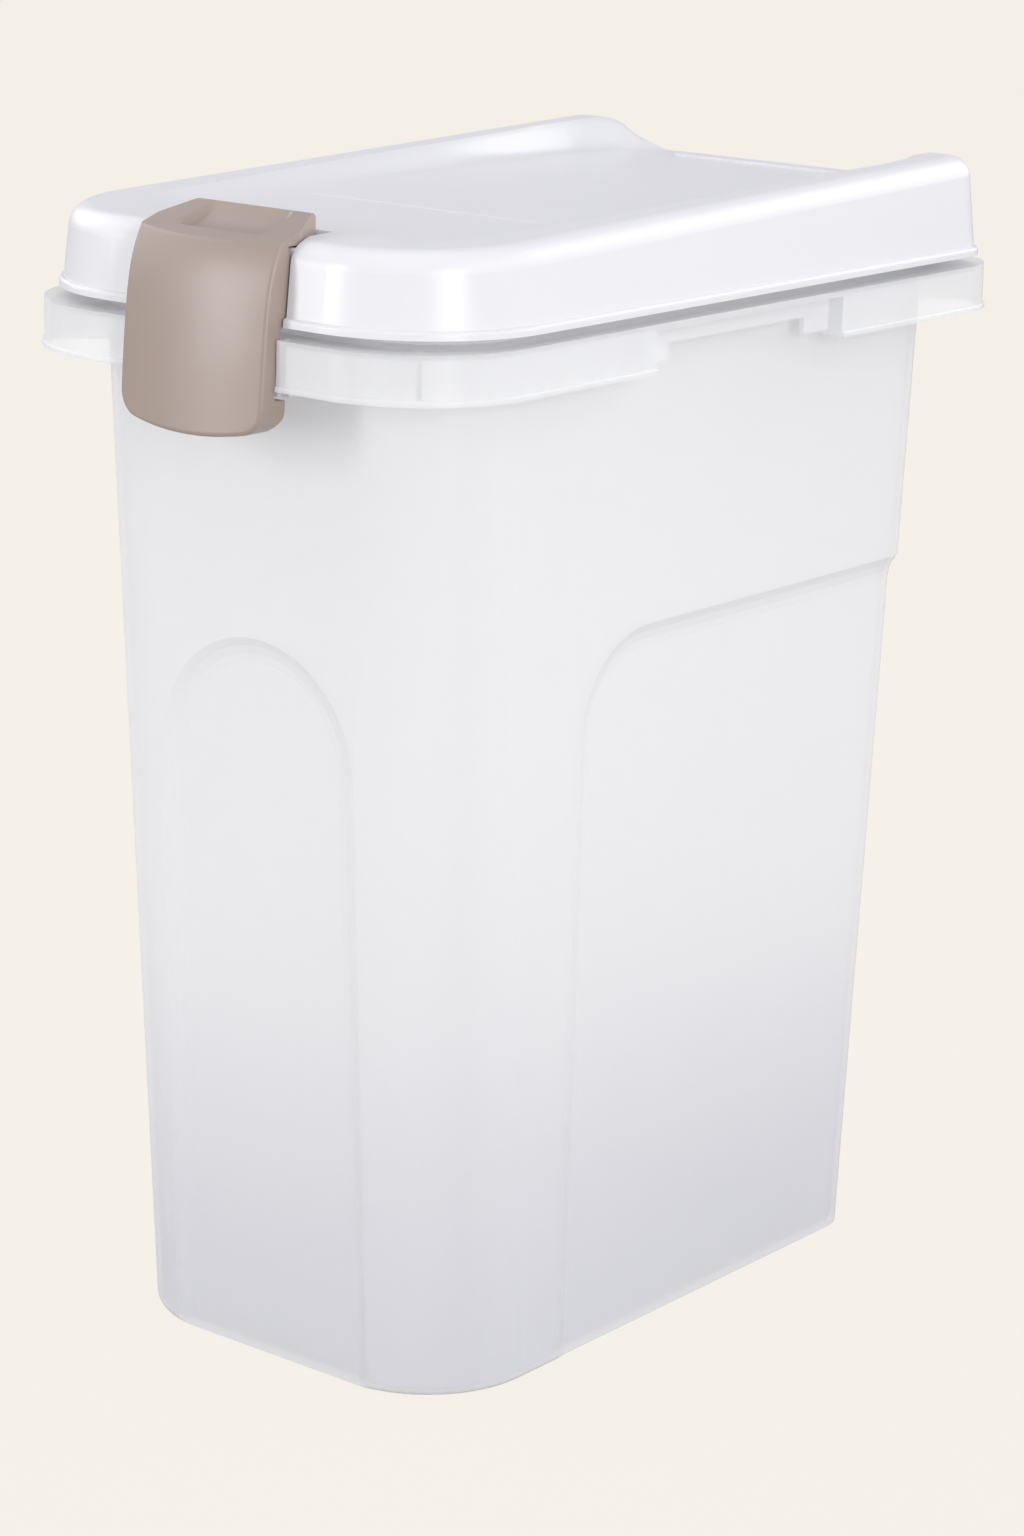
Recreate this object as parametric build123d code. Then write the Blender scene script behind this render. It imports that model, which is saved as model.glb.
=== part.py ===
from build123d import *
import os
from math import atan, cos, radians, sin, sqrt, tan

# A kitchen storage container for dry pet food: a tapered tub with a neck and a skirt,
# a hinged lid with a soft seal, and a clip that pulls the lid down at the front.
# Millimetres, Z up, front at -Y, origin at the centre of the base.

# Tub body, outside, at the floor and at the underside of its flange
base_half_width = 79.0
base_half_depth = 127.5
flange_half_width = 83.5
flange_half_depth = 141.5
base_front_corner = 44.0
base_rear_corner = 20.0
flange_front_corner = 34.0
flange_rear_corner = 16.0
tub_wall = 2.0
floor_thickness = 2.5
bottom_rounding = 4.0

# Shallow panels pressed into the front and round the sides and back
panel_depth = 3.0
panel_top = 262.5
cove_width = 9.0
cove_steps = 3
arch_top_half = 43.0
arch_base_half = 46.8
side_panel_front = -63.0
side_panel_corner = 36.0
side_panel_join = 15.0

# Flange, the neck above it, and the skirt that hangs from it and makes the carrying grips
flange_top = 370.0
flange_thickness = 2.0
neck_height = 16.0
skirt_height = 16.5
skirt_wall = 2.0
skirt_side_reach = 14.5
skirt_front_reach = 21.5
skirt_front_corner = 44.0
skirt_rear_corner = 24.0
skirt_bead_out = 0.8
skirt_bead_height = 2.0
gusset_thickness = 1.6
gusset_root = 10.0
gusset_front_angle = 49.0
gusset_rear_angle = 45.0
grip_center = 5.4
grip_step_half = 54.0
grip_step_in = 6.0
grip_cut_half = 39.0
grip_cut_height = 8.0
grip_tab_height = 2.0

# Lid
lid_gap = 3.7
lid_lip_height = 3.0
lid_lip_out = 1.6
lid_side_step = 0.5
lid_front_step = 3.0
lid_rear_reach = 14.5
lid_front_corner = 50.0
lid_rear_corner = 14.0
lid_wall = 2.0
lid_draft = 6.0
lid_edge_rounding = 8.0
lid_height = 27.5
rail_slope = 0.029
lid_front_reference = -140.0
lid_top_sink = 1.2
plateau_slope = -0.0055
pocket_front = -150.0
pocket_flat_from = -100.0
pocket_foot_front = 56.0
pocket_foot_spread = 0.083
pocket_spread_from = -70.0
pocket_corner_from = 108.0
pocket_corner_radius = 33.0
pocket_corner_share = 0.97
rail_crest_inset = 18.0
rail_over_cut = 0.6
pocket_grid_x = 5.0
pocket_grid_y = 10.0
pocket_margin = 2.0
pocket_room = 30.0
rear_ridge_y = 141.5
rear_ridge_width = 2.4
rear_ridge_height = 0.7
rear_ridge_half_length = 38.0
crease_y = -55.0
crease_half_length = 50.0
crease_radius = 3.0
crease_depth = 0.3

# Seal: a soft ring pushed up over a rib of the lid, just above the neck
seal_width = 5.0
seal_height = 6.0
seal_base = 2.2
seal_gap = 0.3
seal_rib_thickness = 1.6
seal_rib_clearance = 0.1

# Lid hinge behind the lid, above the flange
hinge_set_back = 6.0
hinge_ledge = 5.0
hinge_height = 6.4
hinge_from_side = 38.0
hinge_radius = 4.6
hinge_pin_radius = 1.5
pin_clearance = 0.05
hinge_lid_width = 12.0
hinge_tub_width = 8.0
hinge_side_gap = 0.4
hinge_pin_end = 0.5
hinge_web_overlap = 4.0
hinge_web_rise = 0.6

# Clip and its pivot at the front edge of the lid
clip_half_width = 31.3
clip_bar_half_width = 22.3
clip_taper_length = 12.6
clip_shoulder_rounding = 4.0
clip_bar_end_rounding = 2.6
clip_pivot_set_back = 22.0
clip_pivot_rise = 2.5
clip_bar_radius = 5.0
clip_bulge_radius = 163.0
clip_front_reach = 9.5
clip_skirt_drop = 17.0
clip_bottom_bow = 4.0
clip_corner_rounding = 9.0
clip_edge_rounding = 1.6
clip_side_gap = 1.0
clip_back_gap = 0.6
clip_inner_set_back = 4.4
clip_underside_drop = 0.8
clip_top_slope = 0.33
clip_pin_radius = 1.25
clip_pin_half_length = 20.5
clip_pin_end_gap = 0.3
clip_lug_radius = 2.75
clip_lug_width = 4.0
clip_lug_x = 12.0
clip_lug_gap = 0.35
clip_roll = ((0.0, 0.0), (0.284, 1.1), (0.538, 2.6), (0.785, 5.7), (0.931, 10.4), (1.0, 14.2))
scoop_half_width = 19.0
scoop_from_edge = 15.8
scoop_crest_gap = 0.6
scoop_floor_drop = 1.6
scoop_floor_length = 7.0
scoop_floor_rise = 1.0
scoop_rounding = 3.0
scoop_rim_rounding = 0.6

# Catch on the tub that the clip's hook goes under
catch_set_back = 6.0
catch_drop = 2.8
catch_height = 3.0
catch_out = 2.0
catch_end_gap = 2.0
hook_under_gap = 0.8
hook_nose_gap = 0.7
hook_height = 6.4
hook_throat = 6.0

# Sizes that follow from these
flange_under = flange_top - flange_thickness
neck_top = flange_top + neck_height
skirt_bottom = flange_top - skirt_height
skirt_half_width = flange_half_width + skirt_side_reach
skirt_front = flange_half_depth + skirt_front_reach
lid_lip_bottom = flange_top + lid_gap
lid_half_width = skirt_half_width - lid_side_step
lid_front = skirt_front - lid_front_step
lid_rear = flange_half_depth + lid_rear_reach
rail_front_height = lid_lip_bottom + lid_height
plateau_height = rail_front_height - lid_top_sink
rail_crest = skirt_half_width - rail_crest_inset
hinge_y = lid_rear + hinge_set_back
hinge_z = flange_top + hinge_height
hinge_center_x = skirt_half_width - hinge_from_side
skirt_rear = hinge_y + hinge_ledge
grip_cut_top = skirt_bottom + grip_cut_height
grip_tab_bottom = skirt_bottom + grip_tab_height
catch_bottom = skirt_bottom - catch_drop
catch_panel_y = -(skirt_front - catch_set_back)
clip_notch_half = clip_half_width + clip_side_gap
clip_pivot_y = -(lid_front - clip_pivot_set_back)
clip_pivot_z = plateau_height + clip_pivot_rise
clip_bar_back = clip_pivot_y + clip_bar_radius
clip_bar_top = clip_pivot_z + clip_bar_radius
clip_front_center = -(skirt_front + clip_front_reach)
clip_inner_y = -(lid_front - clip_inner_set_back)
clip_underside = plateau_height - clip_underside_drop
clip_bottom_center = skirt_bottom - clip_skirt_drop
clip_bottom_corner = clip_bottom_center + clip_bottom_bow
clip_taper_front = clip_pivot_y - clip_taper_length
scoop_front = clip_front_center + scoop_from_edge

# Working room: how far cutting shapes run past what they cut
outside = 6.0
below_base = 20.0
far = 60.0


def blend(first, second, share):
    return first + (second - first) * share


def smooth_step(value):
    value = min(max(value, 0.0), 1.0)
    return value * value * (3.0 - 2.0 * value)


def plan(half_width, front, rear, front_corner, rear_corner):
    """Rectangle with its own radii at the front and at the rear."""
    corners = [(-half_width, -front), (half_width, -front), (half_width, rear), (-half_width, rear)]
    face = make_face(Polyline(*corners, close=True))
    face = fillet([v for v in face.vertices() if v.Y < 0], front_corner)
    return fillet([v for v in face.vertices() if v.Y > rear - 0.001], rear_corner)


def slab(x_range, y_range, z_range):
    """Box from its lowest to its highest corner."""
    size = [high - low for low, high in (x_range, y_range, z_range)]
    corner = Pos(x_range[0], y_range[0], z_range[0])
    return corner * Box(*size, align=(Align.MIN, Align.MIN, Align.MIN))


def rod(radius, length, y, z):
    """Round bar along X, centred on x = 0."""
    return Location((0, y, z), (0, 90, 0)) * Cylinder(radius, length)


# Tub

side_lean = atan((flange_half_width - base_half_width) / flange_under)
front_lean = atan((flange_half_depth - base_half_depth) / flange_under)


def body_plan(z, inset):
    """Section of the tub body at a height, moved in by an inset."""
    share = z / flange_under
    half_width = blend(base_half_width, flange_half_width, share) - inset
    half_depth = blend(base_half_depth, flange_half_depth, share) - inset
    front_corner = blend(base_front_corner, flange_front_corner, share) - inset
    rear_corner = blend(base_rear_corner, flange_rear_corner, share) - inset
    return Pos(0, 0, z) * plan(half_width, half_depth, half_depth, front_corner, rear_corner)


def body_stack(levels):
    """Solid through sections given as (height, inset)."""
    solid = None
    for (low, low_inset), (high, high_inset) in zip(levels, levels[1:]):
        layer = loft([body_plan(low, low_inset), body_plan(high, high_inset)], ruled=True)
        solid = layer if solid is None else solid + layer
    return solid


cove_radius = (cove_width**2 + panel_depth**2) / (2 * panel_depth)


def cove(step):
    """Distance in from a panel's edge, and the depth there."""
    along = cove_width * step / cove_steps
    rise = cove_radius - sqrt(cove_radius**2 - (cove_width - along) ** 2)
    return along, panel_depth - rise


def panel_cutter(outline, extra):
    """Shallow panel with a coved edge, from a function outline(offset, inset)."""
    solid = extrude(outline(0, extra), outside)
    for step in range(cove_steps):
        edge, depth = cove(step)
        next_edge, next_depth = cove(step + 1)
        solid += loft([outline(edge, depth + extra), outline(next_edge, next_depth + extra)], ruled=True)
    return solid


def arch_outline(offset, inset):
    """Arch on the leaning front wall."""
    radius = arch_top_half - offset
    foot = arch_base_half - offset
    spring = (panel_top - arch_top_half) / cos(front_lean)
    plane = Plane(
        origin=(0, -(base_half_depth - inset), 0),
        x_dir=(1, 0, 0),
        z_dir=(0, -cos(front_lean), -sin(front_lean)),
    )
    edges = [
        Line((-foot, -below_base), (foot, -below_base)),
        Line((foot, -below_base), (radius, spring)),
        ThreePointArc((radius, spring), (0, spring + radius), (-radius, spring)),
        Line((-radius, spring), (-foot, -below_base)),
    ]
    return plane * make_face(edges)


def side_outline(side):
    """Panel on a leaning side wall, with a round upper front corner."""

    def outline(offset, inset):
        plane = Plane(
            origin=(side * (base_half_width - inset), 0, 0),
            x_dir=(0, side, 0),
            z_dir=(side * cos(side_lean), 0, -sin(side_lean)),
        )

        def point(y, z):
            return (side * y, z / cos(side_lean))

        front = side_panel_front + offset
        top = panel_top - offset
        corner_y = side_panel_front + side_panel_corner
        corner_z = panel_top - side_panel_corner
        reach = (side_panel_corner - offset) * sqrt(0.5)
        edges = [
            Line(point(front, -below_base), point(front, corner_z)),
            ThreePointArc(
                point(front, corner_z), point(corner_y - reach, corner_z + reach), point(corner_y, top)
            ),
            Line(point(corner_y, top), point(side_panel_join, top)),
            Line(point(side_panel_join, top), point(side_panel_join, -below_base)),
            Line(point(side_panel_join, -below_base), point(front, -below_base)),
        ]
        return plane * make_face(edges)

    return outline


def wrap_cutter(extra):
    """Panel that goes round the rear corners and the back."""
    levels = [(-below_base, panel_depth + extra)]
    for step in range(cove_steps, -1, -1):
        edge, depth = cove(step)
        levels.append((panel_top - edge, depth + extra))
    span = flange_half_width + 2 * outside
    rear = side_panel_join + flange_half_depth + 2 * outside
    region = slab((-span, span), (side_panel_join, rear), (-below_base, panel_top))
    return region - body_stack(levels)


def press_panels(solid, extra):
    """Press the front arch and the side and back panels into a solid."""
    solid -= panel_cutter(arch_outline, extra)
    solid -= panel_cutter(side_outline(1), extra)
    solid -= panel_cutter(side_outline(-1), extra)
    return solid - wrap_cutter(extra)


def skirt_plan(outset):
    return plan(
        skirt_half_width + outset,
        skirt_front + outset,
        skirt_rear + outset,
        skirt_front_corner + outset,
        skirt_rear_corner + outset,
    )


grip_panel_out = skirt_half_width - grip_step_in


def grip_recess(side, thickness):
    """Space outside the set-in grip panel, thickened for the inner face."""
    inner = grip_panel_out - thickness
    x_range = sorted((side * inner, side * (skirt_half_width + outside)))
    half = grip_step_half + thickness
    z_range = (skirt_bottom - outside, flange_under)
    return slab(x_range, (grip_center - half, grip_center + half), z_range)


def clip_recess(thickness, top):
    """Space in front of the set-back panel behind the clip."""
    half = clip_notch_half + thickness
    return slab(
        (-half, half), (-skirt_front - outside, catch_panel_y + thickness), (skirt_bottom - outside, top)
    )


def skirt_shell():
    height = flange_top - skirt_bottom
    shell = Pos(0, 0, skirt_bottom) * extrude(skirt_plan(0), height)
    bead = Pos(0, 0, skirt_bottom) * extrude(skirt_plan(skirt_bead_out), skirt_bead_height)
    shell += fillet(bead.edges().group_by(Axis.Z)[-1], skirt_bead_out * 0.9)
    hollow = Pos(0, 0, skirt_bottom) * extrude(skirt_plan(-skirt_wall), height - flange_thickness)
    shell -= clip_recess(0, flange_top + outside)
    hollow -= clip_recess(skirt_wall, flange_top)
    for side in (-1, 1):
        shell -= grip_recess(side, 0)
        hollow -= grip_recess(side, skirt_wall)
    shell -= hollow
    for side in (-1, 1):
        x_range = sorted((side * flange_half_width, side * (grip_panel_out + skirt_wall)))
        cut_y = (grip_center - grip_cut_half, grip_center + grip_cut_half)
        step_y = (grip_center - grip_step_half, grip_center + grip_step_half)
        shell -= slab(x_range, cut_y, (skirt_bottom - 1, grip_cut_top))
        shell -= slab(x_range, step_y, (skirt_bottom - 1, grip_tab_bottom))
    return shell


def gussets():
    """Upright ribs between the tub and the skirt at the corners."""
    ribs = Part()
    low = skirt_bottom + skirt_bead_height
    for side in (-1, 1):
        front_x = side * (skirt_half_width - skirt_front_corner)
        front_y = -(skirt_front - skirt_front_corner)
        rear_x = side * (skirt_half_width - skirt_rear_corner)
        rear_y = skirt_rear - skirt_rear_corner
        places = (
            (front_x, front_y, -side * gusset_front_angle, skirt_front_corner),
            (rear_x, rear_y, side * gusset_rear_angle, skirt_rear_corner),
        )
        for x, y, angle, corner in places:
            turn = angle if side > 0 else 180.0 + angle
            half = gusset_thickness / 2
            rib = slab((-gusset_root, corner), (-half, half), (low, flange_under))
            ribs += Location((x, y, 0), (0, 0, turn)) * rib
    inside_skirt = extrude(skirt_plan(-skirt_wall / 2), flange_top - skirt_bottom)
    return ribs & (Pos(0, 0, skirt_bottom) * inside_skirt)


def catch():
    """Panel foot and ledge that the clip's hook goes under."""
    panel = slab(
        (-clip_notch_half, clip_notch_half),
        (catch_panel_y, catch_panel_y + skirt_wall),
        (catch_bottom, skirt_bottom + 1),
    )
    profile = Polyline(
        (catch_panel_y, catch_bottom),
        (catch_panel_y - catch_out, catch_bottom),
        (catch_panel_y - catch_out, catch_bottom + catch_height * 0.5),
        (catch_panel_y, catch_bottom + catch_height),
        close=True,
    )
    ledge = extrude(Plane.YZ * make_face(profile), clip_half_width - catch_end_gap, both=True)
    return panel + ledge


def hinge_block(width, z_low, reach):
    """Knuckle with a web, its round part centred on the hinge axis at x = 0."""
    round_part = Plane.YZ * Pos(hinge_y, hinge_z) * Circle(hinge_radius)
    middle_z = (z_low + hinge_z) / 2
    if reach > 0:
        web = Plane.YZ * Pos(hinge_y, middle_z) * Rectangle(2 * reach, hinge_z - z_low)
    else:
        web = Plane.YZ * Pos(hinge_y + reach / 2, middle_z) * Rectangle(-reach, hinge_z - z_low)
    return extrude(round_part, width / 2, both=True) + extrude(web, width / 2, both=True)


def hinge_bore(width):
    return rod(hinge_pin_radius + pin_clearance, width, hinge_y, hinge_z)


tub_knuckle_x = (hinge_lid_width + hinge_tub_width) / 2 + hinge_side_gap
hinge_span = hinge_lid_width + 2 * hinge_tub_width + 2 * hinge_side_gap


def tub_knuckles():
    knuckles = Part()
    for side in (-1, 1):
        for place in (-1, 1):
            x = side * hinge_center_x + place * tub_knuckle_x
            knuckles += Pos(x, 0, 0) * hinge_block(hinge_tub_width, flange_top - 1, hinge_radius)
    for side in (-1, 1):
        knuckles -= Pos(side * hinge_center_x, 0, 0) * hinge_bore(hinge_span + 2)
    return knuckles


def make_tub():
    body = body_stack([(0, 0), (neck_top, 0)])
    body = fillet([e for e in body.edges() if abs(e.center().Z) < 0.01], bottom_rounding)
    body = press_panels(body, 0)
    cavity = press_panels(body_stack([(floor_thickness, tub_wall), (neck_top + 1, tub_wall)]), tub_wall)
    return body + skirt_shell() + catch() + gussets() + tub_knuckles() - cavity


# Lid


def rail_height(y):
    return rail_front_height + rail_slope * (y - lid_front_reference)


def plateau(y):
    return plateau_height + plateau_slope * (y - lid_front_reference)


lid_taper = tan(radians(lid_draft))
lid_wall_bottom = lid_lip_bottom + lid_lip_height
lid_tall = rail_height(lid_rear) + outside


def lid_plan(z, inset):
    """Section of the lid's wall at a height; the lip stands out below it."""
    move = lid_lip_out + (z - lid_wall_bottom) * lid_taper + inset
    return Pos(0, 0, z) * plan(
        lid_half_width - move,
        lid_front - move,
        lid_rear - move,
        lid_front_corner - move,
        lid_rear_corner - move,
    )


def under_rails(drop):
    """Everything below the sloping plane of the rails."""
    low = -skirt_front - outside
    high = skirt_rear + outside
    floor = skirt_bottom - far
    profile = Polyline(
        (low, floor),
        (high, floor),
        (high, rail_height(high) - drop),
        (low, rail_height(low) - drop),
        close=True,
    )
    return extrude(Plane.YZ * make_face(profile), skirt_half_width + outside, both=True)


def pocket_foot(y):
    """Half-width of the sunk top where the rails start to rise."""
    foot = pocket_foot_front + pocket_foot_spread * max(y - pocket_spread_from, 0.0)
    turn = min(max((y - pocket_corner_from) / pocket_corner_radius, 0.0), pocket_corner_share)
    return foot - pocket_corner_radius * (1.0 - sqrt(1.0 - turn * turn))


def pocket_height(x, y):
    """Height of the sunk top, rising past the rails' plane at its sides and front."""
    low = plateau(y)
    high = rail_height(y) + rail_over_cut
    foot = pocket_foot(y)
    side_rise = smooth_step((abs(x) - foot) / (rail_crest - foot))
    front_rise = smooth_step((pocket_flat_from - y) / (pocket_flat_from - pocket_front))
    return low + (high - low) * (1.0 - (1.0 - side_rise) * (1.0 - front_rise))


def pocket():
    """Space above the sunk top of the lid."""
    side = skirt_half_width + pocket_margin
    low = -skirt_front - pocket_margin
    high = skirt_rear + pocket_margin
    columns = round(2 * side / pocket_grid_x)
    rows = round((high - low) / pocket_grid_y)
    points = []
    for column in range(columns + 1):
        x = blend(-side, side, column / columns)
        line = []
        for row in range(rows + 1):
            y = blend(low, high, row / rows)
            line.append(Vector(x, y, pocket_height(x, y)))
        points.append(line)
    return extrude(Face.make_surface_from_array_of_points(points), amount=pocket_room, dir=(0, 0, 1))


def lid_block(bottom, inset, drop, rounding):
    """Drafted block under the rails' plane, rounded along its top edge."""
    block = loft([lid_plan(bottom, inset), lid_plan(lid_tall, inset)], ruled=True)
    block &= under_rails(drop)
    top_face = block.faces().sort_by(Axis.Z)[-1]
    return fillet(top_face.edges(), rounding)


def clip_taper(y):
    """Half-width of the clip's top at a place between its plate and the back of its bar."""
    share = (y - clip_taper_front) / (clip_bar_back - clip_taper_front)
    return blend(clip_half_width, clip_bar_half_width, share)


def clip_space(grow):
    """Space that the clip takes in the lid, grown by a wall for the lid's inner side."""
    half = clip_notch_half + grow
    front_y = -skirt_front - outside
    back_y = clip_inner_y + clip_back_gap + grow
    top = clip_underside - clip_back_gap - grow
    front = slab((-half, half), (front_y, back_y), (lid_lip_bottom - outside, top))
    bar_half = clip_bar_half_width + clip_side_gap + grow
    outline = Polyline(
        (-half, front_y),
        (half, front_y),
        (half, clip_taper_front + grow),
        (bar_half, clip_bar_back),
        (-bar_half, clip_bar_back),
        (-half, clip_taper_front + grow),
        close=True,
    )
    above = Pos(0, 0, top) * extrude(make_face(outline), far)
    above -= slab((-half, half), (clip_pivot_y, clip_pivot_y + far), (top - outside, top + 2 * far))
    trough_radius = clip_bar_radius + clip_back_gap + grow
    trough_half = clip_taper(clip_pivot_y - trough_radius) + clip_side_gap + grow
    return front + above + rod(trough_radius, 2 * trough_half, clip_pivot_y, clip_pivot_z)


def seal_ring(outer_inset, inner_inset, low, high):
    """Ring that follows the neck of the tub, between two insets and two heights."""

    def ring_plan(inset):
        return Pos(0, 0, low - neck_top) * body_plan(neck_top, inset)

    return extrude(ring_plan(outer_inset), high - low) - extrude(ring_plan(inner_inset), high - low)


seal_middle = tub_wall / 2
seal_bottom = neck_top + seal_gap
seal_rib_bottom = seal_bottom + seal_base + seal_rib_clearance


def lid_lugs():
    """Two lugs in the trough that carry the clip's pin."""
    lugs = Part()
    stem_height = clip_bar_radius + clip_back_gap + lid_wall / 2
    for side in (-1, 1):
        head = Plane.YZ * Pos(clip_pivot_y, clip_pivot_z) * Circle(clip_lug_radius)
        stem = Plane.YZ * Pos(clip_pivot_y, clip_pivot_z - stem_height / 2) * Rectangle(
            2 * clip_lug_radius, stem_height
        )
        lug = extrude(head, clip_lug_width / 2, both=True) + extrude(stem, clip_lug_width / 2, both=True)
        lugs += Pos(side * clip_lug_x, 0, 0) * lug
    return lugs - rod(clip_pin_radius + pin_clearance, 4 * clip_lug_x, clip_pivot_y, clip_pivot_z)


def lid_knuckles():
    knuckles = Part()
    web_low = hinge_z - hinge_radius + hinge_web_rise
    for side in (-1, 1):
        block = hinge_block(hinge_lid_width, web_low, -(hinge_set_back + hinge_web_overlap))
        knuckles += Pos(side * hinge_center_x, 0, 0) * block
        knuckles -= Pos(side * hinge_center_x, 0, 0) * hinge_bore(hinge_span)
    return knuckles


def crease():
    """Space of the fine crease across the lid's top."""
    axis_z = plateau(crease_y) - crease_depth + crease_radius
    return rod(crease_radius, 2 * crease_half_length, crease_y, axis_z)


def make_lid():
    sunk = pocket()
    outer = lid_block(lid_lip_bottom, 0, 0, lid_edge_rounding)
    lip = Pos(0, 0, lid_lip_bottom) * extrude(
        plan(lid_half_width, lid_front, lid_rear, lid_front_corner, lid_rear_corner), lid_lip_height
    )
    lip = fillet(lip.edges().group_by(Axis.Z)[-1], lid_lip_out * 0.8)
    outer = outer + lip - sunk - clip_space(0)
    inner = lid_block(lid_lip_bottom - 1, lid_wall, lid_wall, lid_edge_rounding - lid_wall)
    inner = inner - Pos(0, 0, -lid_wall) * sunk - clip_space(lid_wall)
    rib = seal_ring(
        seal_middle - seal_rib_thickness / 2, seal_middle + seal_rib_thickness / 2, seal_rib_bottom, lid_tall
    )
    ridge = Pos(0, rear_ridge_y, plateau(rear_ridge_y)) * Box(
        2 * rear_ridge_half_length, rear_ridge_width, 2 * rear_ridge_height
    )
    ridge = fillet(ridge.edges().filter_by(Axis.Z), rear_ridge_width * 0.45)
    knuckles = lid_knuckles() - inner
    return outer - inner - crease() + (rib & inner) + ridge + knuckles + lid_lugs()


def make_seal():
    half = seal_width / 2
    slot = seal_rib_thickness / 2 + seal_rib_clearance
    body = seal_ring(seal_middle - half, seal_middle + half, seal_bottom, seal_bottom + seal_height)
    groove = seal_ring(
        seal_middle - slot, seal_middle + slot, seal_bottom + seal_base, seal_bottom + seal_height
    )
    return body - groove


# Clip

clip_foot = clip_bottom_center - 2.5
clip_crest = clip_bar_top - 1.0
clip_front_room = clip_front_center - outside
clip_tangent_y = clip_pivot_y - clip_bar_radius * sin(atan(clip_top_slope))


def clip_top(y):
    """Height of the clip's sloping top in front of its bar."""
    tangent_z = clip_pivot_z + clip_bar_radius * cos(atan(clip_top_slope))
    return tangent_z + clip_top_slope * (y - clip_tangent_y)


def clip_side():
    """Side shape of the clip, its front left square for the bulged front to trim."""
    hook_top = catch_bottom - hook_under_gap
    throat_y = catch_panel_y - hook_throat
    foot_y = catch_panel_y - 2.9
    bar_low = (clip_pivot_y, clip_pivot_z - clip_bar_radius)
    edges = [
        Polyline(
            bar_low,
            (clip_pivot_y - clip_bar_radius - 0.5, clip_underside),
            (clip_inner_y - 1.0, clip_underside),
            (clip_inner_y - 0.2, clip_underside - 5.0),
            (clip_inner_y, flange_top + 6.0),
            (catch_panel_y - 0.5, flange_top + 4.9),
            (catch_panel_y - 2.8, flange_top + 3.2),
            (catch_panel_y - 3.7, flange_top - 1.8),
            (throat_y, hook_top + 1.7),
            (throat_y + 0.6, hook_top + 0.3),
            (catch_panel_y - hook_nose_gap, hook_top),
            (catch_panel_y - hook_nose_gap, hook_top - hook_height),
            (foot_y, clip_bottom_corner - 0.5),
            (foot_y, clip_foot),
            (clip_front_room, clip_foot),
            (clip_front_room, clip_top(clip_front_room)),
            (clip_tangent_y, clip_top(clip_tangent_y)),
        ),
        ThreePointArc((clip_tangent_y, clip_top(clip_tangent_y)), (clip_bar_back, clip_pivot_z), bar_low),
    ]
    return extrude(Plane.YZ * make_face(edges), clip_half_width, both=True)


def clip_bulge():
    """Solid of revolution that gives the clip its curved front."""
    points = []
    for share, set_back in reversed(clip_roll):
        points.append((clip_front_center + set_back, blend(clip_foot, clip_crest, share)))
    deep = clip_front_center + far
    high = clip_crest + outside
    back = Polyline(points[-1], (deep, clip_foot), (deep, high), (points[0][0] + outside, high), points[0])
    turn_axis = Axis((0, clip_front_center + clip_bulge_radius, 0), (0, 0, 1))
    spread = 32.0
    turned = revolve(Plane.YZ * make_face([Spline(*points), back]), turn_axis, spread)
    return turned.rotate(turn_axis, -spread / 2)


def clip_outline():
    """Front outline: rounded corners and a curved bottom edge."""
    top = clip_bar_top + 1
    edges = [
        Line((-clip_half_width, top), (clip_half_width, top)),
        Line((clip_half_width, top), (clip_half_width, clip_bottom_corner)),
        ThreePointArc(
            (clip_half_width, clip_bottom_corner),
            (0, clip_bottom_center),
            (-clip_half_width, clip_bottom_corner),
        ),
        Line((-clip_half_width, clip_bottom_corner), (-clip_half_width, top)),
    ]
    face = make_face(edges)
    low = [v for v in face.vertices() if v.Y < clip_bottom_corner + 1]
    face = fillet(low, clip_corner_rounding)
    return Pos(0, clip_bar_back + outside, 0) * extrude(Plane.XZ * face, far)


def clip_top_taper():
    """Top outline: the clip narrows towards its bar."""
    outline = Polyline(
        (-clip_half_width, clip_front_room),
        (clip_half_width, clip_front_room),
        (clip_half_width, clip_taper_front),
        (clip_bar_half_width, clip_bar_back),
        (-clip_bar_half_width, clip_bar_back),
        (-clip_half_width, clip_taper_front),
        close=True,
    )
    face = make_face(outline)
    shoulders = [v for v in face.vertices() if abs(v.Y - clip_taper_front) < 0.01]
    face = fillet(shoulders, clip_shoulder_rounding)
    ends = [v for v in face.vertices() if v.Y > clip_bar_back - 0.01]
    face = fillet(ends, clip_bar_end_rounding)
    return Pos(0, 0, clip_foot - outside) * extrude(face, 2 * far)


def clip_scoop():
    """Finger scoop in the top of the clip, in front of the bar."""
    floor_z = clip_top(scoop_front) - scoop_floor_drop
    low_back = (scoop_front + scoop_floor_length, floor_z + scoop_floor_rise)
    crest = (clip_pivot_y - scoop_crest_gap, clip_bar_top)
    top = clip_bar_top + outside
    edges = [
        ThreePointArc((scoop_front, floor_z), low_back, crest),
        Polyline(crest, (crest[0], top), (scoop_front, top), (scoop_front, floor_z)),
    ]
    tool = extrude(Plane.YZ * make_face(edges), scoop_half_width, both=True)
    low = [e for e in tool.edges() if e.center().Z < clip_bar_top - 0.5]
    return fillet(low, scoop_rounding)


def scoop_rim(clip):
    """Edges where the scoop meets the clip's sloping top."""
    rim = []
    for edge in clip.edges():
        center = edge.center()
        beside = abs(center.X) < scoop_half_width + 0.5 and scoop_front - 0.5 < center.Y < clip_pivot_y
        if beside and center.Z > clip_top(center.Y) - 0.3:
            rim.append(edge)
    return rim


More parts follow.
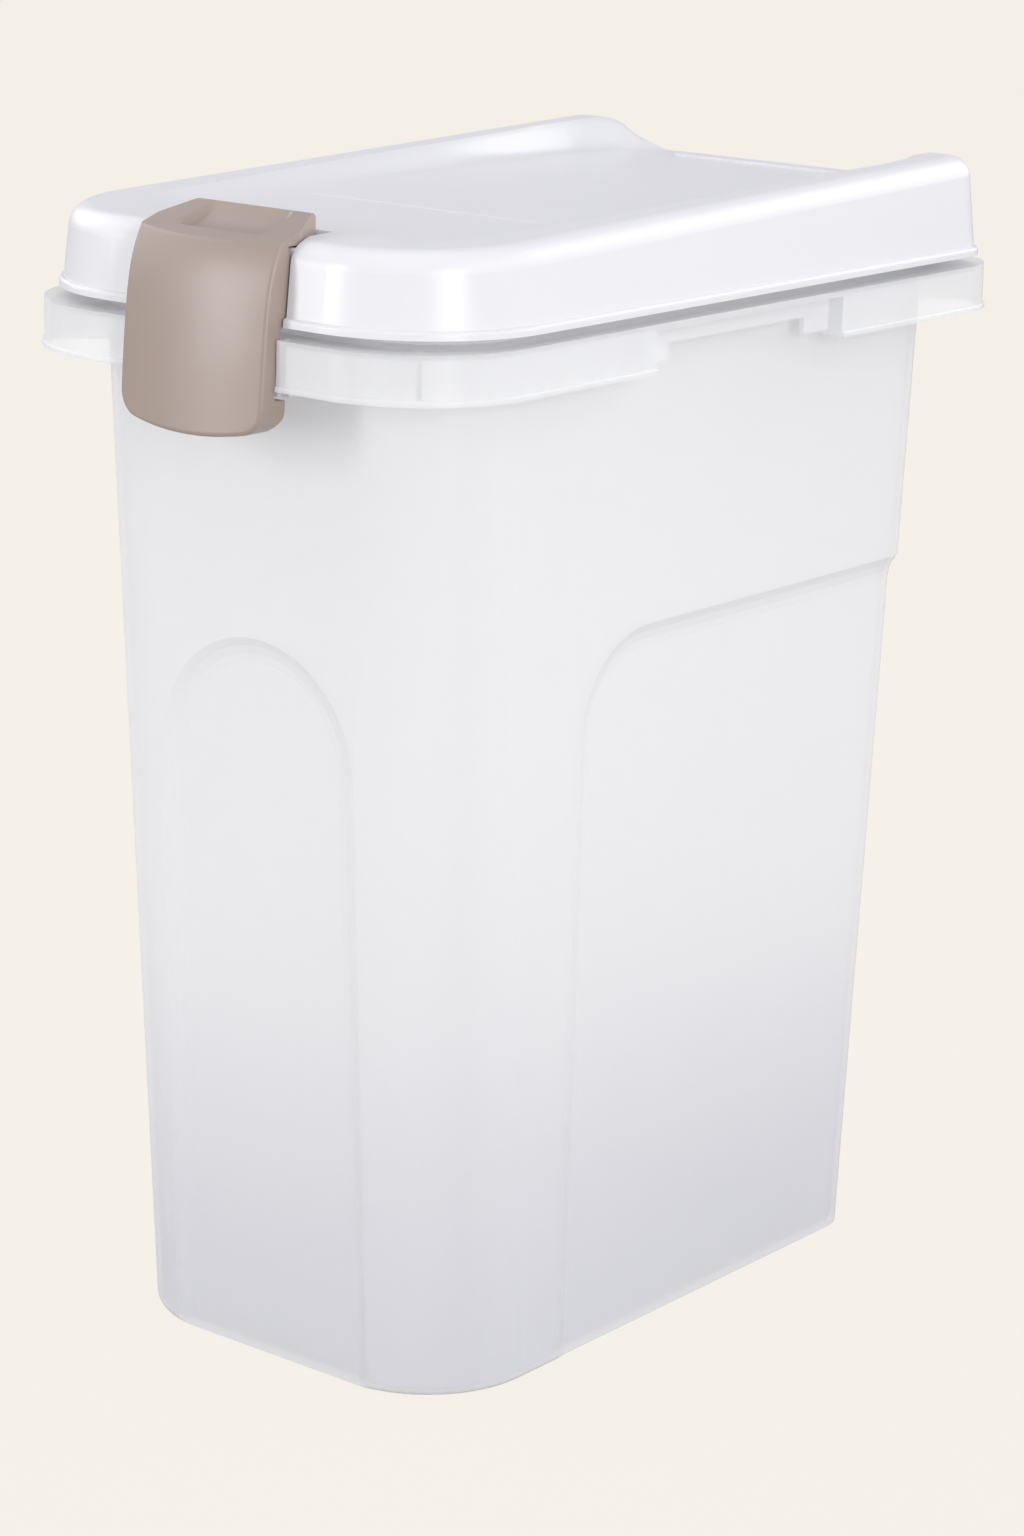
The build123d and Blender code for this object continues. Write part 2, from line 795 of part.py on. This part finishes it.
def clip_lug_slots():
    """Slots that let the bar turn about the lid's two lugs."""
    slots = Part()
    radius = clip_lug_radius + clip_lug_gap
    width = clip_lug_width + 2 * clip_lug_gap
    reach = 2 * clip_bar_radius
    for side in (-1, 1):
        round_part = Plane.YZ * Pos(clip_pivot_y, clip_pivot_z) * Circle(radius)
        mouth = Polyline(
            (clip_pivot_y - radius, clip_pivot_z),
            (clip_pivot_y - radius, clip_pivot_z - reach),
            (clip_pivot_y + reach, clip_pivot_z - reach),
            (clip_pivot_y + reach, clip_pivot_z + clip_bar_radius + 1.5),
            (clip_pivot_y, clip_pivot_z + radius),
            close=True,
        )
        slot = extrude(round_part, width / 2, both=True)
        slot += extrude(Plane.YZ * make_face(mouth), width / 2, both=True)
        slots += Pos(side * clip_lug_x, 0, 0) * slot
    return slots


def clip_pin_solid(radius, low, high):
    return Pos((low + high) / 2, 0, 0) * rod(radius, high - low, clip_pivot_y, clip_pivot_z)


def make_clip():
    clip = clip_side() & clip_bulge() & clip_outline() & clip_top_taper()
    front_limit = clip_inner_y - 3.4
    front_loop = [e for e in clip.edges() if e.geom_type == GeomType.BSPLINE and e.center().Y < front_limit]
    clip = fillet(front_loop, clip_edge_rounding)
    clip -= clip_scoop()
    clip = fillet(scoop_rim(clip), scoop_rim_rounding)
    clip -= clip_lug_slots()
    return clip - clip_pin_solid(
        clip_pin_radius + pin_clearance, -clip_half_width, clip_pin_half_length + clip_pin_end_gap
    )


def make_hinge_pin(side):
    length = hinge_span - 2 * hinge_pin_end
    return Pos(side * hinge_center_x, 0, 0) * rod(hinge_pin_radius, length, hinge_y, hinge_z)


pieces = {
    "tub": make_tub(),
    "hinge_pin_left": make_hinge_pin(-1),
    "hinge_pin_right": make_hinge_pin(1),
    "lid": make_lid(),
    "lid_seal": make_seal(),
    "clip_pin": clip_pin_solid(clip_pin_radius, -clip_pin_half_length, clip_pin_half_length),
    "front_clip": make_clip(),
}

os.makedirs("parts", exist_ok=True)
for name, solid in pieces.items():
    export_step(solid, f"parts/{name}.step")
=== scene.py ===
from math import cos, radians, sin

import bpy
from mathutils import Matrix, Vector

# A pet food container seen from its front right corner, on a plain pale floor.
# Metres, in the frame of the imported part.

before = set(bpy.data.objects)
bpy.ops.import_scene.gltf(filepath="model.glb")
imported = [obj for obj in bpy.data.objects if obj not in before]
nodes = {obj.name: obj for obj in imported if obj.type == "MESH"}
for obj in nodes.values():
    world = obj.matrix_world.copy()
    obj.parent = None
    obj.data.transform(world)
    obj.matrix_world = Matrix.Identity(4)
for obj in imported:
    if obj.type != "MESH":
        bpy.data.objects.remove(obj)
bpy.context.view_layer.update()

# Camera, fitted to the photograph
CAMERA_AZIMUTH = 38.678
CAMERA_ELEVATION = 14.8105
CAMERA_ROLL = 1.2768
CAMERA_DISTANCE = 1.48367
CAMERA_TARGET = Vector((0, 0, 0.205))
CAMERA_CLIP_END = 200.0
IMAGE_HEIGHT = 1536
FOCAL_PIXELS = 4083.64
OFFSET_RIGHT = -3.077
OFFSET_DOWN = -39.218
SENSOR = 36.0

# Colours, in the units of a picture (0 to 255), turned into linear light by linear()
FLOOR_COLOUR = (185, 182, 178)
FLOOR_SEEN_COLOUR = (248, 243, 235)
BACKDROP_COLOUR = (245, 240, 232)
# The tub's two tones are painted light: a lighter tone at the top and a painted shade towards the floor
TUB_PAINTED_LIT_COLOUR = (249, 250, 253)
TUB_PAINTED_SHADE_COLOUR = (232, 233, 240)
LID_COLOUR = (230, 230, 235)
CLIP_COLOUR = (164, 148, 140)
SEAL_COLOUR = (232, 232, 234)
PIN_COLOUR = (236, 236, 234)

# Steps of a picture's 255 that a colour drifts by, either way
LID_DRIFT = 1
CLIP_DRIFT = 2
SEAL_DRIFT = 2
PIN_DRIFT = 2

# Gloss of each plastic, and how far it drifts either way
TUB_ROUGHNESS = 0.31
LID_ROUGHNESS = 0.32
CLIP_ROUGHNESS = 0.34
SEAL_ROUGHNESS = 0.55
PIN_ROUGHNESS = 0.35
GLOSS_DRIFT = 0.02
PLASTIC_IOR = 1.49

# Noise behind the drifts and the grain: its scale per metre and its detail
COLOUR_NOISE_SCALE = 14.0
GLOSS_NOISE_SCALE = 60.0
DRIFT_DETAIL = 3.0
GRAIN_NOISE_SCALE = 300.0
GRAIN_DETAIL = 2.0
GRAIN_STRENGTH = 0.25
GRAIN_DEPTH = 0.00001
NOISE_LOW = 0.3
NOISE_HIGH = 0.7

# The tub's milky wall: the heights between which its colour runs from a painted shade at the foot to a
# lighter painted lit tone at the top, and how dense it is seen flat and edge-on
TUB_PAINTED_LIT_HEIGHT = 0.16
TUB_PAINTED_SHADE_HEIGHT = 0.01
TUB_FACE_ALPHA = 0.40
TUB_EDGE_ALPHA = 0.60
TUB_EDGE_BLEND = 0.25

# Floor, of which the camera sees mostly an even colour and a little of the shaded one
FLOOR_HALF = 40.0
FLOOR_DROP = 0.0002
FLOOR_SEEN_SHARE = 0.95
FLOOR_ROUGHNESS = 0.9

# World light, and softboxes: azimuth and elevation in degrees, distance, width and height, watts
WORLD_COLOUR = (0.97, 0.975, 1.0, 1.0)
WORLD_STRENGTH = 0.50
SOFTBOXES = {
    "front_left_softbox": (-29, 12, 2.0, 0.5, 1.0, 14),
    "front_right_softbox": (62, 12, 2.0, 0.4, 1.0, 15.5),
    "right_softbox": (90, 35, 1.5, 1.0, 1.0, 4),
    "left_softbox": (-70, 30, 1.8, 1.0, 1.0, 4),
    "top_softbox": (0, 85, 1.5, 1.2, 1.2, 3),
    "back_left_softbox": (265, 30, 2.0, 1.2, 1.2, 7),
    "back_softbox": (160, 25, 2.0, 1.2, 1.2, 10),
}

# Bounces that light needs to pass the see-through walls of the tub
TRANSPARENT_BOUNCES = 32
DIFFUSE_BOUNCES = 8


def linear(colour):
    """Linear light for a colour given as it looks on a screen, from 0 to 255."""
    out = []
    for value in colour:
        share = value / 255.0
        out.append(share / 12.92 if share <= 0.04045 else ((share + 0.055) / 1.055) ** 2.4)
    return (*out, 1.0)


def shifted(colour, amount):
    return tuple(min(255, max(0, value + amount)) for value in colour)


# Material nodes


def new_material(name):
    material = bpy.data.materials.new(name)
    material.use_nodes = True
    tree = material.node_tree
    return material, tree, first_node(tree, "BSDF_PRINCIPLED")


def first_node(tree, kind):
    return next(node for node in tree.nodes if node.type == kind)


def add_node(tree, kind, **values):
    node = tree.nodes.new(kind)
    for name, value in values.items():
        setattr(node, name, value)
    return node


def noise(tree, scale, detail=DRIFT_DETAIL):
    """Noise in the object's own space, in metres; returns its output."""
    place = add_node(tree, "ShaderNodeTexCoord")
    texture = add_node(tree, "ShaderNodeTexNoise")
    texture.inputs["Scale"].default_value = scale
    texture.inputs["Detail"].default_value = detail
    tree.links.new(place.outputs["Object"], texture.inputs["Vector"])
    return texture.outputs["Fac"]


def vary(tree, source, low, high):
    """Maps noise to a range of values."""
    spread = add_node(tree, "ShaderNodeMapRange")
    spread.inputs["From Min"].default_value = NOISE_LOW
    spread.inputs["From Max"].default_value = NOISE_HIGH
    spread.inputs["To Min"].default_value = low
    spread.inputs["To Max"].default_value = high
    tree.links.new(source, spread.inputs["Value"])
    return spread.outputs["Result"]


def tint(tree, source, first, second):
    """Colour that runs from the first colour to the second one as the source goes from 0 to 1."""
    mix = add_node(tree, "ShaderNodeMix", data_type="RGBA")
    mix.inputs["A"].default_value = linear(first)
    mix.inputs["B"].default_value = linear(second)
    tree.links.new(source, mix.inputs["Factor"])
    return mix.outputs["Result"]


def height_share(tree, low, high):
    """Runs from 0 at a low height to 1 at a high one, in metres of the object's own space."""
    place = add_node(tree, "ShaderNodeTexCoord")
    parts = add_node(tree, "ShaderNodeSeparateXYZ")
    tree.links.new(place.outputs["Object"], parts.inputs["Vector"])
    spread = add_node(tree, "ShaderNodeMapRange", interpolation_type="SMOOTHSTEP")
    spread.inputs["From Min"].default_value = low
    spread.inputs["From Max"].default_value = high
    tree.links.new(parts.outputs["Z"], spread.inputs["Value"])
    return spread.outputs["Result"]


def add_grain(tree, shader):
    """The fine grain of a moulded surface, as a bump."""
    node = add_node(tree, "ShaderNodeBump")
    node.inputs["Strength"].default_value = GRAIN_STRENGTH
    node.inputs["Distance"].default_value = GRAIN_DEPTH
    tree.links.new(noise(tree, GRAIN_NOISE_SCALE, GRAIN_DETAIL), node.inputs["Height"])
    tree.links.new(node.outputs["Normal"], shader.inputs["Normal"])


# Materials


def moulded_plastic(name, roughness):
    """Moulded plastic with a slow drift of gloss and a fine grain; its colour is still to be set."""
    material, tree, shader = new_material(name)
    gloss = vary(tree, noise(tree, GLOSS_NOISE_SCALE), roughness - GLOSS_DRIFT, roughness + GLOSS_DRIFT)
    tree.links.new(gloss, shader.inputs["Roughness"])
    add_grain(tree, shader)
    shader.inputs["IOR"].default_value = PLASTIC_IOR
    return material, tree, shader


def coloured_plastic(name, colour, roughness, drift):
    """Moulded plastic whose colour drifts slowly about the given one."""
    material, tree, shader = moulded_plastic(name, roughness)
    slow = vary(tree, noise(tree, COLOUR_NOISE_SCALE), 0.0, 1.0)
    shade = tint(tree, slow, shifted(colour, -drift), shifted(colour, drift))
    tree.links.new(shade, shader.inputs["Base Color"])
    return material


def tub_material():
    """Milky see-through polypropylene with painted shade that darkens it towards the floor, denser where a
    wall is seen edge-on.
    """
    material, tree, shader = moulded_plastic("tub_plastic", TUB_ROUGHNESS)
    # Painted shade: the tub's colour darkens from the top towards the floor
    painted_shade_mask = height_share(tree, TUB_PAINTED_SHADE_HEIGHT, TUB_PAINTED_LIT_HEIGHT)
    tree.links.new(tint(tree, painted_shade_mask, TUB_PAINTED_SHADE_COLOUR, TUB_PAINTED_LIT_COLOUR), shader.inputs["Base Color"])
    facing = add_node(tree, "ShaderNodeLayerWeight")
    facing.inputs["Blend"].default_value = TUB_EDGE_BLEND
    density = add_node(tree, "ShaderNodeMapRange")
    density.inputs["To Min"].default_value = TUB_FACE_ALPHA
    density.inputs["To Max"].default_value = TUB_EDGE_ALPHA
    tree.links.new(facing.outputs["Facing"], density.inputs["Value"])
    tree.links.new(density.outputs["Result"], shader.inputs["Alpha"])
    return material


def lid_material():
    """Near-white polypropylene with a satin gloss."""
    return coloured_plastic("lid_plastic", LID_COLOUR, LID_ROUGHNESS, LID_DRIFT)


def clip_material():
    """Taupe plastic with a satin gloss."""
    return coloured_plastic("clip_plastic", CLIP_COLOUR, CLIP_ROUGHNESS, CLIP_DRIFT)


def seal_material():
    """Soft pale silicone, duller than the plastics."""
    return coloured_plastic("seal_rubber", SEAL_COLOUR, SEAL_ROUGHNESS, SEAL_DRIFT)


def pin_material():
    """Natural white acetal rod."""
    return coloured_plastic("pin_plastic", PIN_COLOUR, PIN_ROUGHNESS, PIN_DRIFT)


def dress(node, material):
    mesh = nodes[node].data
    mesh.materials.clear()
    mesh.materials.append(material)


# Stage


def mix_shaders(tree, share, first, second):
    """The first shader where the share is 0 and the second where it is 1; returns its output."""
    mix = add_node(tree, "ShaderNodeMixShader")
    tree.links.new(share, mix.inputs[0])
    tree.links.new(first.outputs[0], mix.inputs[1])
    tree.links.new(second.outputs[0], mix.inputs[2])
    return mix.outputs[0]


def floor_material():
    """Plain floor that the camera sees in a paler, more even colour than the one that takes the light."""
    material, tree, shader = new_material("floor")
    shader.inputs["Base Color"].default_value = linear(FLOOR_COLOUR)
    shader.inputs["Roughness"].default_value = FLOOR_ROUGHNESS
    shader.inputs["Specular IOR Level"].default_value = 0.0
    glow = add_node(tree, "ShaderNodeEmission")
    glow.inputs["Color"].default_value = linear(FLOOR_SEEN_COLOUR)
    ray = add_node(tree, "ShaderNodeLightPath")
    share = add_node(tree, "ShaderNodeMath", operation="MULTIPLY")
    share.inputs[1].default_value = FLOOR_SEEN_SHARE
    tree.links.new(ray.outputs["Is Camera Ray"], share.inputs[0])
    surface = mix_shaders(tree, share.outputs[0], shader, glow)
    tree.links.new(surface, first_node(tree, "OUTPUT_MATERIAL").inputs["Surface"])
    return material


def make_floor():
    """A large square, a hair under the container's foot."""
    mesh = bpy.data.meshes.new("floor")
    signs = [(-1, -1), (1, -1), (1, 1), (-1, 1)]
    corners = [(x * FLOOR_HALF, y * FLOOR_HALF, -FLOOR_DROP) for x, y in signs]
    mesh.from_pydata(corners, [], [(0, 1, 2, 3)])
    mesh.materials.append(floor_material())
    floor = bpy.data.objects.new("floor", mesh)
    bpy.context.scene.collection.objects.link(floor)


def make_world():
    """Even light from all round, seen by the camera as a pale backdrop."""
    world = bpy.data.worlds.new("studio")
    bpy.context.scene.world = world
    world.use_nodes = True
    tree = world.node_tree
    light = first_node(tree, "BACKGROUND")
    light.inputs["Color"].default_value = WORLD_COLOUR
    light.inputs["Strength"].default_value = WORLD_STRENGTH
    backdrop = add_node(tree, "ShaderNodeBackground")
    backdrop.inputs["Color"].default_value = linear(BACKDROP_COLOUR)
    ray = add_node(tree, "ShaderNodeLightPath")
    surface = mix_shaders(tree, ray.outputs["Is Camera Ray"], light, backdrop)
    tree.links.new(surface, first_node(tree, "OUTPUT_WORLD").inputs["Surface"])


def direction(azimuth, elevation):
    """Unit vector away from the object; azimuth 0 is in front of it and 90 to its right."""
    turn, tilt = radians(azimuth), radians(elevation)
    return Vector((sin(turn) * cos(tilt), -cos(turn) * cos(tilt), sin(tilt)))


def soft_light(name, azimuth, elevation, distance, width, painted_shade_mask, watts):
    """Softbox aimed at the middle of the object."""
    lamp = bpy.data.lights.new(name, "AREA")
    lamp.shape = "RECTANGLE"
    lamp.size = width
    lamp.size_y = painted_shade_mask
    lamp.energy = watts
    light = bpy.data.objects.new(name, lamp)
    bpy.context.scene.collection.objects.link(light)
    away = direction(azimuth, elevation)
    light.location = CAMERA_TARGET + away * distance
    light.rotation_euler = away.to_track_quat("Z", "Y").to_euler()


def make_camera():
    back = direction(CAMERA_AZIMUTH, CAMERA_ELEVATION)
    right = Vector((0, 0, 1)).cross(back).normalized()
    up = back.cross(right)
    roll = radians(CAMERA_ROLL)
    rolled_right = cos(roll) * right + sin(roll) * up
    rolled_up = -sin(roll) * right + cos(roll) * up
    data = bpy.data.cameras.new("camera")
    data.sensor_fit = "VERTICAL"
    data.sensor_height = SENSOR
    data.lens = FOCAL_PIXELS * SENSOR / IMAGE_HEIGHT
    data.shift_x = -OFFSET_RIGHT / IMAGE_HEIGHT
    data.shift_y = OFFSET_DOWN / IMAGE_HEIGHT
    data.clip_end = CAMERA_CLIP_END
    camera = bpy.data.objects.new("camera", data)
    bpy.context.scene.collection.objects.link(camera)
    place = Matrix((rolled_right, rolled_up, back)).transposed().to_4x4()
    place.translation = CAMERA_TARGET + back * CAMERA_DISTANCE
    camera.matrix_world = place
    bpy.context.scene.camera = camera


dress("tub", tub_material())
dress("lid", lid_material())
dress("lid_seal", seal_material())
dress("front_clip", clip_material())
pin_plastic = pin_material()
for node in ("clip_pin", "hinge_pin_left", "hinge_pin_right"):
    dress(node, pin_plastic)

make_floor()
make_world()
for name, values in SOFTBOXES.items():
    soft_light(name, *values)
make_camera()

bpy.context.scene.view_settings.view_transform = "Standard"
bpy.context.scene.cycles.transparent_max_bounces = TRANSPARENT_BOUNCES
bpy.context.scene.cycles.diffuse_bounces = DIFFUSE_BOUNCES
